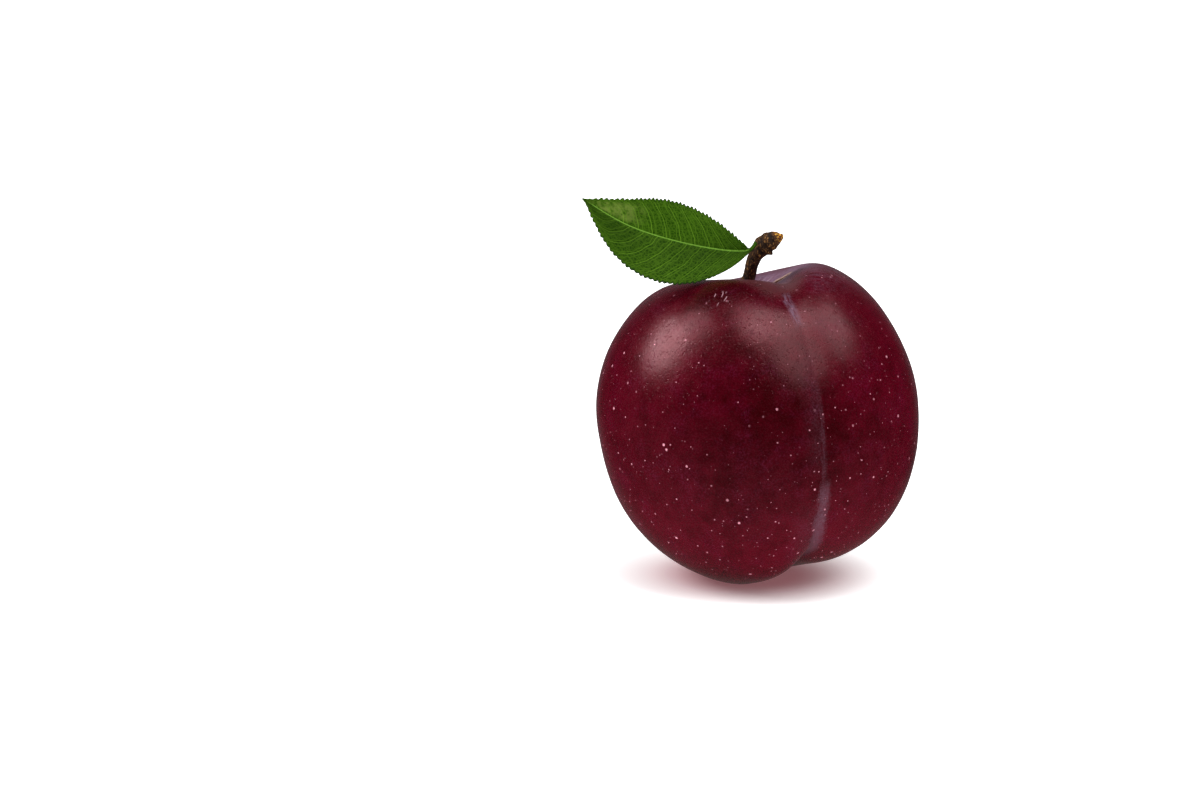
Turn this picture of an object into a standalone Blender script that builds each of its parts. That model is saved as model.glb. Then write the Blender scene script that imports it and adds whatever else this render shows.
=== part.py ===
"""A picked plum: one grown fruit with its woody stem and a single toothed leaf.

Metres, +Z up. The origin is the middle of the small flat spot that the fruit rests on.
The suture, the shallow seam from the stem's hollow to the blossom end, faces -Y and a little +X.
"""
import math

import bmesh
import bpy
from mathutils import Vector

MM = 0.001

# Fruit: distances from the middle of its body, along its own axis.
BODY_RADIUS = 29.4 * MM
TOP_HEIGHT = 31.3 * MM
BOTTOM_HEIGHT = 30.1 * MM
TOP_ROUNDNESS = 1.90
BOTTOM_ROUNDNESS = 2.30
LEAN_LEFT = math.radians(5.2)
LEAN_BACK = math.radians(10.0)

# The hollow around the stem.
HOLLOW_DEPTH = 8.2 * MM
HOLLOW_RADIUS = 10.0 * MM
HOLLOW_STEEPNESS = 2.2

# The suture: its bearing from -Y toward +X, and its depth and width at rim, waist and blossom end.
SUTURE_BEARING = math.radians(20.3)
SUTURE_SWEEP_AT_RIM = math.radians(34.0)
SUTURE_SWEEP_AT_BLOSSOM = math.radians(7.5)
SEAM_DEPTH_RIM = 3.1 * MM
SEAM_DEPTH_WAIST = 0.3 * MM
SEAM_DEPTH_BLOSSOM = 4.1 * MM
SEAM_WIDTH_RIM = 4.2 * MM
SEAM_STEEPER_RIGHT = 1.2 * MM
SEAM_WIDTH_WAIST = 5.0 * MM
SEAM_WIDTH_BLOSSOM = 2.4 * MM
SEAM_SOFTNESS_RIM = 2.8 * MM
SEAM_SOFTNESS = 1.4 * MM
RIM_POLAR = 0.44
RIM_REACH = 0.30
BLOSSOM_POLAR = 2.88
BLOSSOM_REACH = 0.50
RIM_SWEEP_SPAN = (0.80, 0.15)
BLOSSOM_SWEEP_SPAN = (2.2, 2.75)
SEAM_FADES_BEHIND_AXIS = (-5.0 * MM, 6.0 * MM)

# The cheek on the suture's right side rides a little higher than the left one.
CHEEK_LIFT_TOP = 1.1 * MM
CHEEK_LIFT_BOTTOM = 1.3 * MM
CHEEK_BLEND_TOP = 6.0 * MM
CHEEK_BLEND_BOTTOM = 3.5 * MM
CHEEK_FADES_BEHIND_AXIS = (-14.0 * MM, 3.0 * MM)

# Swellings of the flesh: bearing and polar angle in degrees, reach in radians, height.
SWELLINGS = (
    (-67, 60, 0.75, 0.9 * MM),
    (-67, 125, 0.75, -1.3 * MM),
    (113, 60, 0.75, 1.4 * MM),
    (113, 125, 0.75, 0.2 * MM),
    (180, 60, 0.80, -1.9 * MM),
    (0, 125, 0.80, 1.5 * MM),
    (-25, 31, 0.30, 0.45 * MM),
    (-150, 36, 0.45, -0.8 * MM),
)

# The blossom end's small scar, and the flat spot that the fruit rests on.
SCAR_DEPTH = 0.7 * MM
SCAR_RADIUS = 1.6 * MM
REST_PLANE_BELOW_MIDDLE = 29.70 * MM
REST_SPOT_OFFSET = Vector((-1.4, -1.9, 0.0)) * MM

FRUIT_COLUMNS = 84
FRUIT_ROWS = 52
COLUMN_CROWDING = 0.6
SMALLEST_EDGE = 0.08 * MM
CUT_TOLERANCE = 0.001 * MM
SHARP_EDGE = math.radians(50.0)

# Stem: places along its middle line from its foot in the hollow, each with its radius.
STEM_LINE = (
    (Vector((0.0, 0.0, 0.0)) * MM, 1.55 * MM),
    (Vector((0.25, -0.1, 1.0)) * MM, 1.22 * MM),
    (Vector((0.95, -0.4, 2.5)) * MM, 1.18 * MM),
    (Vector((1.50, -1.2, 5.1)) * MM, 1.20 * MM),
    (Vector((2.30, -2.0, 7.0)) * MM, 1.42 * MM),
    (Vector((3.45, -2.6, 8.55)) * MM, 1.80 * MM),
    (Vector((4.65, -3.0, 9.45)) * MM, 1.75 * MM),
    (Vector((5.80, -3.2, 10.1)) * MM, 1.30 * MM),
    (Vector((6.95, -3.3, 10.6)) * MM, 0.35 * MM),
)
FOOT_CLEARANCE = 0.72 * MM
STEM_STEPS = 44
STEM_SIDES = 20
HALF_STEP = 0.01
FOOT_BLEND = 0.15
KNOT_PLACE = 0.63
KNOT_LENGTH = 0.045
KNOT_BREADTH = 0.55
KNOT_HEIGHT = 0.55 * MM
KNOT_SIDE = math.radians(-80.0)
BARK_RIDGES = 3
BARK_RIDGE_TWIST = 5.0
BARK_RIDGE_HEIGHT = 0.05 * MM
RING_SCAR_CLOSENESS = 46.0
RING_SCAR_HEIGHT = 0.09 * MM
RING_SCARS_FROM = (0.45, 0.60)
RING_SCARS_UNTIL = (0.80, 0.90)

# Leaf: the blade runs from the stem toward -X; each half has its own width and taper.
LEAF_LENGTH = 33.2 * MM
UPPER_HALF_WIDTH = 7.2 * MM
LOWER_HALF_WIDTH = 9.7 * MM
UPPER_TAPER = (0.926, 1.026)
LOWER_TAPER = (0.90, 1.02)
BLADE_CUP = 0.17
HALVES = ((1, UPPER_HALF_WIDTH, UPPER_TAPER), (-1, LOWER_HALF_WIDTH, LOWER_TAPER))
LEAF_THICKNESS = 0.40 * MM
MIDRIB_HEIGHT = 0.40 * MM
PETIOLE_LENGTH = 1.6 * MM
PETIOLE_RADIUS = 0.32 * MM
PETIOLE_TUCK = 0.75 * MM
TIP_NARROWING = 0.6
LEAF_BASE = Vector((-1.25, -1.1, 31.15)) * MM
LEAF_TIP_FORWARD = 12.0 * MM
BLADE_LEAN_AT_BASE = math.radians(36.5)
BLADE_LEAN_AT_TIP = math.radians(38.0)
BLADE_LEAN_GATHERS = 1.5
TIP_FORWARD_GATHERS = 1.05
EDGE_WAVE = 0.35 * MM
EDGE_WAVES = 9.0

# The midrib's climb in degrees: a lift near the base, a steady curl, and a turn toward the tip.
CLIMB_NEAR_BASE = (6.7, 0.0, 0.20)
CLIMB_STEADY = 24.3
CLIMB_NEAR_TIP = (6.5, 0.55, 0.85)
PETIOLE_DROOP = 52.0
PETIOLE_BEND = 0.03
MIDRIB_TAPER = 0.8
MIDRIB_BREADTH = 0.7 * MM
PETIOLE_SHARES = (1.0, 0.75, 0.5, 0.25)

# Teeth along the edge: (share of a tooth, share of its height); small at both ends of the blade.
TEETH = 46
TOOTH_HEIGHT = 0.26 * MM
TOOTH_OUTLINE = ((0.0, 0.0), (0.55, 0.6), (0.92, 1.0))
TEETH_START = (0.01, 0.08)
TEETH_END = (0.93, 0.995)
ACROSS = (1.0, 0.86, 0.60, 0.30, 0.08)
EDGE_ROUNDNESS = 6
WALK_STEPS = 8


def ease(value, low, high):
    """A smooth step from 0 below low to 1 above high."""
    t = min(max((value - low) / (high - low), 0.0), 1.0)
    return t * t * (3.0 - 2.0 * t)


def hump(value, middle, reach):
    """A bell of height 1 around the middle."""
    return math.exp(-((value - middle) / reach) ** 2)


def spherical(bearing, polar):
    """The unit direction at a bearing from -Y toward +X and a polar angle from +Z."""
    flat = math.sin(polar)
    return Vector((flat * math.sin(bearing), -flat * math.cos(bearing), math.cos(polar)))


def suture_bearing(polar):
    """The suture swings to the right as it climbs into the hollow, and a little at the blossom end."""
    rim_start, rim_end = RIM_SWEEP_SPAN
    at_rim = SUTURE_SWEEP_AT_RIM * ease(-polar, -rim_start, -rim_end)
    return SUTURE_BEARING + at_rim + SUTURE_SWEEP_AT_BLOSSOM * ease(polar, *BLOSSOM_SWEEP_SPAN)


def body_distance(bearing, polar):
    """Distance from the middle to the skin, before the hollow and the suture."""
    upper = polar < math.pi / 2
    height = TOP_HEIGHT if upper else BOTTOM_HEIGHT
    power = TOP_ROUNDNESS if upper else BOTTOM_ROUNDNESS
    across = abs(math.sin(polar)) / BODY_RADIUS
    along = abs(math.cos(polar)) / height
    distance = (across ** power + along ** power) ** (-1.0 / power)
    direction = spherical(bearing, polar)
    for side, down, reach, swell in SWELLINGS:
        middle = spherical(math.radians(side), math.radians(down))
        apart = direction.angle(middle)
        distance += swell * hump(apart, 0.0, reach)
    return distance


def fruit_skin(bearing, polar):
    """A point of the fruit's skin around its upright axis."""
    distance = body_distance(bearing, polar)
    from_axis = distance * math.sin(polar)
    off_seam = from_axis * math.sin(bearing - suture_bearing(polar))
    toward_seam = from_axis * math.cos(bearing - suture_bearing(polar))
    at_rim = hump(polar, RIM_POLAR, RIM_REACH)
    at_blossom = hump(polar, BLOSSOM_POLAR, BLOSSOM_REACH)
    depth = SEAM_DEPTH_WAIST
    depth += (SEAM_DEPTH_RIM - SEAM_DEPTH_WAIST) * at_rim
    depth += (SEAM_DEPTH_BLOSSOM - SEAM_DEPTH_WAIST) * at_blossom
    width = SEAM_WIDTH_WAIST
    width += (SEAM_WIDTH_RIM - SEAM_WIDTH_WAIST) * at_rim
    width += (SEAM_WIDTH_BLOSSOM - SEAM_WIDTH_WAIST) * at_blossom
    width -= SEAM_STEEPER_RIGHT * math.tanh(off_seam / SEAM_SOFTNESS_RIM) * at_rim
    softness = SEAM_SOFTNESS + (SEAM_SOFTNESS_RIM - SEAM_SOFTNESS) * at_rim
    off_floor = math.hypot(off_seam, softness) - softness
    front_only = ease(toward_seam, *SEAM_FADES_BEHIND_AXIS)
    distance -= depth * math.exp(-off_floor / width) * front_only
    point = spherical(bearing, polar) * distance
    upper = polar < math.pi / 2
    lift = CHEEK_LIFT_TOP
    blend = CHEEK_BLEND_TOP
    if not upper:
        lift = CHEEK_LIFT_BOTTOM * ease(toward_seam, *CHEEK_FADES_BEHIND_AXIS)
        blend = CHEEK_BLEND_BOTTOM
    point.z += lift * math.cos(polar) ** 2 * math.tanh(off_seam / blend)
    if upper:
        point.z -= HOLLOW_DEPTH * math.exp(-(from_axis / HOLLOW_RADIUS) ** HOLLOW_STEEPNESS)
    else:
        point.z += SCAR_DEPTH * hump(from_axis, 0.0, SCAR_RADIUS)
    return point


def settle(point):
    """Lean the upright fruit as it rests, and bring its flat spot to the origin."""
    left = LEAN_LEFT
    leaned = Vector((
        point.x * math.cos(left) - point.z * math.sin(left),
        point.y,
        point.x * math.sin(left) + point.z * math.cos(left),
    ))
    back = LEAN_BACK
    resting = Vector((
        leaned.x,
        leaned.y * math.cos(back) + leaned.z * math.sin(back),
        leaned.z * math.cos(back) - leaned.y * math.sin(back),
    ))
    return resting - REST_SPOT_OFFSET + Vector((0.0, 0.0, REST_PLANE_BELOW_MIDDLE))


def material(name, colour, roughness):
    """A plain non-metal material with the piece's own colour."""
    made = bpy.data.materials.new(name)
    made.use_nodes = True
    shader = made.node_tree.nodes["Principled BSDF"]
    shader.inputs["Base Color"].default_value = (*colour, 1.0)
    shader.inputs["Roughness"].default_value = roughness
    shader.inputs["Metallic"].default_value = 0.0
    made.diffuse_color = (*colour, 1.0)
    return made


def add_object(name, mesh_data, made):
    """Put a finished bmesh into the scene as a smooth named object."""
    bmesh.ops.recalc_face_normals(mesh_data, faces=mesh_data.faces)
    mesh = bpy.data.meshes.new(name)
    mesh_data.to_mesh(mesh)
    mesh_data.free()
    mesh.shade_smooth()
    mesh.set_sharp_from_angle(angle=SHARP_EDGE)
    mesh.materials.append(made)
    piece = bpy.data.objects.new(name, mesh)
    bpy.context.scene.collection.objects.link(piece)
    return piece


def loft(mesh_data, rings):
    """Skin a list of rings of points, all with the same count, and close both ends."""
    loops = [[mesh_data.verts.new(point) for point in ring] for ring in rings]
    count = len(loops[0])
    for first, second in zip(loops, loops[1:]):
        for side in range(count):
            after = (side + 1) % count
            mesh_data.faces.new((first[side], first[after], second[after], second[side]))
    mesh_data.faces.new(loops[0])
    mesh_data.faces.new(loops[-1])


def make_fruit():
    """A sphere pushed out to the skin, then cut flat where the fruit rests."""
    mesh_data = bmesh.new()
    bmesh.ops.create_uvsphere(mesh_data, u_segments=FRUIT_COLUMNS, v_segments=FRUIT_ROWS, radius=1.0)
    for vert in mesh_data.verts:
        polar = math.acos(min(max(vert.co.z, -1.0), 1.0))
        turn = math.atan2(vert.co.x, -vert.co.y)
        bearing = suture_bearing(polar) + turn - COLUMN_CROWDING * math.sin(turn)
        vert.co = settle(fruit_skin(bearing, polar))
    bmesh.ops.bisect_plane(
        mesh_data,
        geom=mesh_data.verts[:] + mesh_data.edges[:] + mesh_data.faces[:],
        dist=CUT_TOLERANCE,
        plane_co=(0.0, 0.0, 0.0),
        plane_no=(0.0, 0.0, -1.0),
        clear_outer=True,
    )
    rest_verts = [vert for vert in mesh_data.verts if vert.is_boundary]
    for vert in rest_verts:
        vert.co.z = 0.0
    bmesh.ops.remove_doubles(mesh_data, verts=rest_verts, dist=SMALLEST_EDGE)
    rest_edges = [edge for edge in mesh_data.edges if edge.is_boundary]
    bmesh.ops.contextual_create(mesh_data, geom=rest_edges)
    return add_object("fruit", mesh_data, material("plum_skin", (0.10, 0.006, 0.016), 0.32))


def smooth_line(line, place):
    """A point and radius on the smooth curve through a list of (point, radius) pairs."""
    spans = len(line) - 1
    span = min(int(place * spans), spans - 1)
    t = place * spans - span
    picks = [line[min(max(span + step, 0), spans)] for step in (-1, 0, 1, 2)]
    weights = (
        -0.5 * t + t * t - 0.5 * t ** 3,
        1.0 - 2.5 * t * t + 1.5 * t ** 3,
        0.5 * t + 2.0 * t * t - 1.5 * t ** 3,
        -0.5 * t * t + 0.5 * t ** 3,
    )
    point = Vector((0.0, 0.0, 0.0))
    radius = 0.0
    for weight, (pick, pick_radius) in zip(weights, picks):
        point += weight * pick
        radius += weight * pick_radius
    return point, radius


def stem_swell(place, side):
    """Extra radius of the bark: ring scars, long ridges, and the knot under the head."""
    scars_start, scars_full = RING_SCARS_FROM
    scars_fade, scars_end = RING_SCARS_UNTIL
    ridges = BARK_RIDGE_HEIGHT * math.sin(BARK_RIDGES * side + BARK_RIDGE_TWIST * place)
    scars = RING_SCAR_HEIGHT * math.sin(RING_SCAR_CLOSENESS * place)
    scars *= ease(place, scars_start, scars_full) * ease(-place, -scars_end, -scars_fade)
    turn = math.remainder(side - KNOT_SIDE, math.tau)
    knot = KNOT_HEIGHT * hump(turn, 0.0, KNOT_BREADTH) * hump(place, KNOT_PLACE, KNOT_LENGTH)
    return ridges * ease(place, 0.0, scars_start) + scars + knot


def make_stem():
    """A bent woody stem that thickens to a knotted head with a short broken spur."""
    axis = settle(Vector((0.0, 0.0, 1.0))) - settle(Vector((0.0, 0.0, 0.0)))
    foot = settle(fruit_skin(0.0, 0.0)) + FOOT_CLEARANCE * axis
    rings = []
    for step in range(STEM_STEPS + 1):
        place = step / STEM_STEPS
        middle, radius = smooth_line(STEM_LINE, place)
        before, _ = smooth_line(STEM_LINE, max(place - HALF_STEP, 0.0))
        after, _ = smooth_line(STEM_LINE, min(place + HALF_STEP, 1.0))
        along = (after - before).normalized()
        along = axis.lerp(along, ease(place, 0.0, FOOT_BLEND)).normalized()
        front = Vector((0.0, -1.0, 0.0))
        up = front.cross(along).normalized()
        front = along.cross(up)
        ring = []
        for index in range(STEM_SIDES):
            side = math.tau * index / STEM_SIDES
            reach = radius + stem_swell(place, side)
            ring.append(foot + middle + reach * (math.cos(side) * front + math.sin(side) * up))
        rings.append(ring)
    mesh_data = bmesh.new()
    loft(mesh_data, rings)
    return add_object("stem", mesh_data, material("stem_bark", (0.045, 0.022, 0.010), 0.78))


def leaf_heading(travel):
    """How steeply the midrib climbs, in radians, at a share of the blade's length."""
    climb = CLIMB_STEADY * max(travel, 0.0)
    for turn, start, end in (CLIMB_NEAR_BASE, CLIMB_NEAR_TIP):
        climb += turn * ease(travel, start, end)
    droop = PETIOLE_DROOP * ease(-travel, -PETIOLE_BEND, PETIOLE_BEND)
    return math.radians(climb - droop)


def half_width(travel, width, taper):
    """Width of one half of the blade, from its outer edge to the midrib."""
    rise, fall = taper
    return width * max(math.sin(math.pi * min(max(travel, 0.0), 1.0) ** rise), 0.0) ** fall


def leaf_stations():
    """Shares of the blade's length, three to a tooth, each with its tooth height."""
    petiole = [(-PETIOLE_LENGTH / LEAF_LENGTH * share, 0.0) for share in PETIOLE_SHARES]
    fade, end = TEETH_END
    blade = []
    for tooth in range(TEETH):
        for share, height in TOOTH_OUTLINE:
            travel = (tooth + share) / TEETH
            strength = ease(travel, *TEETH_START) * ease(-travel, -end, -fade)
            blade.append((travel, height * strength))
    return petiole + blade + [(end, 0.0)]


def midrib_points(stations):
    """Walk the midrib from the blade's base both ways; every station gets its point."""
    walked = {}
    for direction in (1, -1):
        point = Vector(LEAF_BASE)
        travel = 0.0
        ordered = sorted((s for s, _ in stations if s * direction >= 0.0), key=abs)
        for goal in ordered:
            stride = (goal - travel) / WALK_STEPS
            for _ in range(WALK_STEPS):
                heading = leaf_heading(travel + 0.5 * stride)
                point.x -= LEAF_LENGTH * stride * math.cos(heading)
                point.z += LEAF_LENGTH * stride * math.sin(heading)
                travel += stride
            travel = goal
            forward = LEAF_TIP_FORWARD * math.copysign(abs(goal) ** TIP_FORWARD_GATHERS, goal)
            tuck = PETIOLE_TUCK * (min(goal, 0.0) * LEAF_LENGTH / PETIOLE_LENGTH) ** 2
            walked[goal] = point + Vector((0.0, tuck - forward, 0.0))
    return walked


def blade_section(travel, tooth, middle):
    """The closed ring of points around the blade at one station."""
    heading = leaf_heading(travel)
    share = max(travel, 0.0)
    lean = BLADE_LEAN_AT_BASE
    lean += (BLADE_LEAN_AT_TIP - BLADE_LEAN_AT_BASE) * share ** BLADE_LEAN_GATHERS
    rise = Vector((math.sin(heading), 0.0, math.cos(heading)))
    upward = rise * math.cos(lean) + Vector((0.0, math.sin(lean), 0.0))
    along = Vector((-math.cos(heading), -LEAF_TIP_FORWARD / LEAF_LENGTH, math.sin(heading)))
    face = upward.cross(along).normalized()
    blade = ease(travel, 0.0, PETIOLE_BEND)
    thickness = 2.0 * PETIOLE_RADIUS + (LEAF_THICKNESS - 2.0 * PETIOLE_RADIUS) * blade
    front_side = []
    back_side = []
    for half, width, taper in HALVES:
        narrowest = PETIOLE_RADIUS * (1.0 - TIP_NARROWING * share)
        spread = math.hypot(narrowest, half_width(travel, width, taper))
        line = ACROSS if half == 1 else ACROSS[::-1]
        for across in line:
            edge = TOOTH_HEIGHT * tooth if across == 1.0 else 0.0
            out = half * (across * spread + edge)
            cup = BLADE_CUP * across * spread
            cup += EDGE_WAVE * across ** 2 * math.sin(EDGE_WAVES * travel + half)
            body = middle + upward * out + face * cup * blade
            thin = 0.5 * thickness * math.sqrt(max(1.0 - across ** EDGE_ROUNDNESS, 0.0))
            ridge = MIDRIB_HEIGHT * (1.0 - MIDRIB_TAPER * share) * blade
            ridge *= hump(across * spread, 0.0, MIDRIB_BREADTH)
            if across == 1.0:
                front_side.append(body)
            else:
                front_side.append(body + face * thin)
                back_side.append(body - face * (thin + ridge))
    return front_side + back_side[::-1]


def make_leaf():
    """A thin blade with a toothed edge, a midrib on its back, and a short petiole."""
    stations = leaf_stations()
    walked = midrib_points(stations)
    fruit_middle = Vector((0.0, 0.0, REST_PLANE_BELOW_MIDDLE)) - REST_SPOT_OFFSET
    rings = []
    for travel, tooth in stations:
        rings.append(blade_section(travel, tooth, fruit_middle + walked[travel]))
    mesh_data = bmesh.new()
    loft(mesh_data, rings)
    return add_object("leaf", mesh_data, material("leaf_green", (0.035, 0.11, 0.012), 0.45))


def main():
    for old in list(bpy.data.objects):
        bpy.data.objects.remove(old)
    make_fruit()
    make_stem()
    make_leaf()


main()
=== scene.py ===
"""Looks of a ripe plum with its stem and leaf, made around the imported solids.

Metres, +Z up, in the frame's own axes: the fruit rests on the floor at the origin, its suture
faces -Y and a little +X, and its leaf runs toward -X.
"""
import math

import bpy
import numpy as np
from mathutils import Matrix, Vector, noise


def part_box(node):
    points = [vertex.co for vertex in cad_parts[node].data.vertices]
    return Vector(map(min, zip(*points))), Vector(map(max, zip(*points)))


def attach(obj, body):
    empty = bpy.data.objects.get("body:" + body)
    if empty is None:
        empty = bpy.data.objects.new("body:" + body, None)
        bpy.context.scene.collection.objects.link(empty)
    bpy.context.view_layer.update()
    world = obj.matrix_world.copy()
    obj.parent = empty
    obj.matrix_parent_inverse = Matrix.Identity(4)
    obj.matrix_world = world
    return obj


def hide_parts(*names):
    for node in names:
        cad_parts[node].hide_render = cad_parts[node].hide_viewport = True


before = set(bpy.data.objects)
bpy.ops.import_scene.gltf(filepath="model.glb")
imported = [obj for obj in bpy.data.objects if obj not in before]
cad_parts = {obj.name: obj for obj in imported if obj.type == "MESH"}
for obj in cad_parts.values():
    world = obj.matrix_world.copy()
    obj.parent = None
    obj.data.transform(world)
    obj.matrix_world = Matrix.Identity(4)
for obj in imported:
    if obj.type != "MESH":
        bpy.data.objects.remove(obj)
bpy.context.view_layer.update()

MM = 0.001
BODY = "root"

# Fruit: distances from the middle of its body, along its own axis.
BODY_RADIUS = 29.4 * MM
TOP_HEIGHT = 31.3 * MM
BOTTOM_HEIGHT = 30.1 * MM
TOP_ROUNDNESS = 1.90
BOTTOM_ROUNDNESS = 2.30
LEAN_LEFT = math.radians(5.2)
LEAN_BACK = math.radians(10.0)
REST_PLANE_BELOW_MIDDLE = 29.70 * MM
REST_SPOT_OFFSET = np.array((-1.4, -1.9, 0.0)) * MM

# The hollow around the stem, its pleats, and the slit where a bud scale tore off its right wall.
HOLLOW_DEPTH = 8.2 * MM
HOLLOW_RADIUS = 10.0 * MM
HOLLOW_STEEPNESS = 2.2
PLEATS = 23
PLEAT_DEPTH = 0.10 * MM
PLEAT_RADIUS = 4.5 * MM
PLEAT_REACH = 2.6 * MM
# Waves around the axis that crowd the pleats, and how strong each is.
PLEAT_CROWDING = ((2.0, 3.0), (5.0, 1.7))
SLIT_START = np.array((6.2, 0.1)) * MM
SLIT_END = np.array((8.4, -1.3)) * MM
SLIT_DEPTH = 0.25 * MM
SLIT_WIDTH = 0.35 * MM

# Bloom: how far it reaches around the axis, and how it spreads along the crest of the right cheek.
BLOOM_RADIUS = 12.6 * MM
CREST_FROM = 3.0 * MM
CREST_TO = 6.0 * MM
CREST_SPREAD = 1.4
CREST_FADES_BEHIND_AXIS = (2.0 * MM, 10.0 * MM)

# The suture: its bearing from -Y toward +X, and its depth and width at rim, waist and blossom end.
SUTURE_BEARING = math.radians(20.3)
SUTURE_SWEEP_AT_RIM = math.radians(34.0)
SUTURE_SWEEP_AT_BLOSSOM = math.radians(7.5)
SEAM_DEPTH_RIM = 3.1 * MM
SEAM_DEPTH_WAIST = 0.3 * MM
SEAM_DEPTH_BLOSSOM = 4.1 * MM
SEAM_WIDTH_RIM = 4.2 * MM
SEAM_STEEPER_RIGHT = 1.2 * MM
SEAM_WIDTH_WAIST = 5.0 * MM
SEAM_WIDTH_BLOSSOM = 2.4 * MM
SEAM_SOFTNESS_RIM = 2.8 * MM
SEAM_SOFTNESS = 1.4 * MM
RIM_POLAR = 0.44
RIM_REACH = 0.30
BLOSSOM_POLAR = 2.88
BLOSSOM_REACH = 0.50
RIM_SWEEP_SPAN = (0.80, 0.15)
BLOSSOM_SWEEP_SPAN = (2.2, 2.75)
SEAM_FADES_BEHIND_AXIS = (-5.0 * MM, 6.0 * MM)
CREASE_DEPTH = 0.03 * MM
CREASE_WIDTH = 0.60 * MM

# The cheek on the suture's right side rides a little higher than the left one.
CHEEK_LIFT_TOP = 1.1 * MM
CHEEK_LIFT_BOTTOM = 1.3 * MM
CHEEK_BLEND_TOP = 6.0 * MM
CHEEK_BLEND_BOTTOM = 3.5 * MM
CHEEK_FADES_BEHIND_AXIS = (-14.0 * MM, 3.0 * MM)

# Swellings of the flesh: bearing and polar angle in degrees, reach in radians, height.
SWELLINGS = (
    (-67, 60, 0.75, 0.9 * MM),
    (-67, 125, 0.75, -1.3 * MM),
    (113, 60, 0.75, 1.4 * MM),
    (113, 125, 0.75, 0.2 * MM),
    (180, 60, 0.80, -1.9 * MM),
    (0, 125, 0.80, 1.5 * MM),
    (-25, 31, 0.30, 0.45 * MM),
    (-150, 36, 0.45, -0.8 * MM),
)
SCAR_DEPTH = 0.7 * MM
SCAR_RADIUS = 1.6 * MM

# The skin's own unevenness: wavelength and height of each swell.
SKIN_WAVES = ((13.0 * MM, 0.16 * MM), (5.5 * MM, 0.045 * MM), (2.0 * MM, 0.012 * MM))

FRUIT_COLUMNS = 400
FRUIT_ROWS = 244
COLUMN_CROWDING = 0.6
FIT_ROWS = 181
FIT_COLUMNS = 241

# Stem: places along its middle line from its foot in the hollow, each with its radius.
STEM_LINE = (
    ((0.0, 0.0, 0.0), 1.55),
    ((0.25, -0.1, 1.0), 1.22),
    ((0.95, -0.4, 2.5), 1.18),
    ((1.50, -1.2, 5.1), 1.20),
    ((2.30, -2.0, 7.0), 1.42),
    ((3.45, -2.6, 8.55), 1.80),
    ((4.65, -3.0, 9.45), 1.75),
    ((5.80, -3.2, 10.1), 1.30),
    ((6.95, -3.3, 10.6), 0.35),
)
FOOT_CLEARANCE = 0.72 * MM
STEM_ROWS = 220
STEM_SIDES = 96
FOOT_BLEND = 0.15
FOOT_SINKS = 2.0 * MM
FOOT_SINK_END = 0.10
KNOT_PLACE = 0.63
KNOT_LENGTH = 0.045
KNOT_BREADTH = 0.55
KNOT_HEIGHT = 0.55 * MM
KNOT_SIDE = math.radians(-80.0)
# Long ridges, ring scars, lumps of bark and the splinters of the broken end.
RIDGES = 3.0
RIDGE_HEIGHT = 0.05 * MM
RIDGE_TWIST = 5.0
RIDGE_START = (0.0, 0.45)
RINGS = 52.0
RING_HEIGHT = 0.07 * MM
RING_SLANT = 0.8
RING_START = (0.45, 0.60)
RING_END = (0.80, 0.90)
BARK_HEIGHT = 0.10 * MM
# Lumps of the bark: their share, wavelength and seed.
BARK_LUMPS = ((0.6, 0.9 * MM, 4.0), (0.4, 0.35 * MM, 9.0))
SPLINTER_HEIGHT = 0.30 * MM
SPLINTER_LENGTH = 0.6 * MM
SPLINTER_SEED = 2.0
SPLINTER_START = (0.88, 0.97)
RING_RELIEF = 0.7 * MM

# Leaf: the blade runs from the stem toward -X; each half has its own width and taper.
LEAF_LENGTH = 33.2 * MM
UPPER_HALF_WIDTH = 7.2 * MM
LOWER_HALF_WIDTH = 9.7 * MM
UPPER_TAPER = (0.926, 1.026)
LOWER_TAPER = (0.90, 1.02)
BLADE_CUP = 0.17
LEAF_THICKNESS = 0.30 * MM
PETIOLE_LENGTH = 1.6 * MM
PETIOLE_TUCK = 0.75 * MM
PETIOLE_RADIUS = 0.34 * MM
TIP_NARROWING = 0.6
LEAF_BASE = np.array((-1.25, -1.1, 31.15)) * MM
LEAF_TIP_FORWARD = 12.0 * MM
TIP_FORWARD_GATHERS = 1.05
BLADE_LEAN_AT_BASE = math.radians(36.5)
BLADE_LEAN_AT_TIP = math.radians(38.0)
BLADE_LEAN_GATHERS = 1.5
EDGE_WAVE = 0.35 * MM
EDGE_WAVES = 9.0
CLIMB_NEAR_BASE = (6.7, 0.0, 0.20)
CLIMB_STEADY = 24.3
CLIMB_NEAR_TIP = (6.5, 0.55, 0.85)
PETIOLE_DROOP = 52.0
PETIOLE_BEND = 0.03
TEETH = 40
TOOTH_STEPS = 8
TEETH_END = (0.93, 0.995)
TOOTH_LEAN = 1.4
TOOTH_ROUNDNESS = 0.8
# Every tooth's height differs: waves along the blade in radians, and the share they add.
TEETH_VARY = 71.0
TEETH_VARY_SHARE = 0.25
TEETH_REACH_INWARD = 8
# Teeth of the upper and the lower half: their height, and where they begin.
UPPER_TEETH = (0.42 * MM, (0.01, 0.08))
LOWER_TEETH = (0.32 * MM, (0.10, 0.35))
BLADE_STEPS = 40
PETIOLE_STEPS = 14
VEINS = 12
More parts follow.
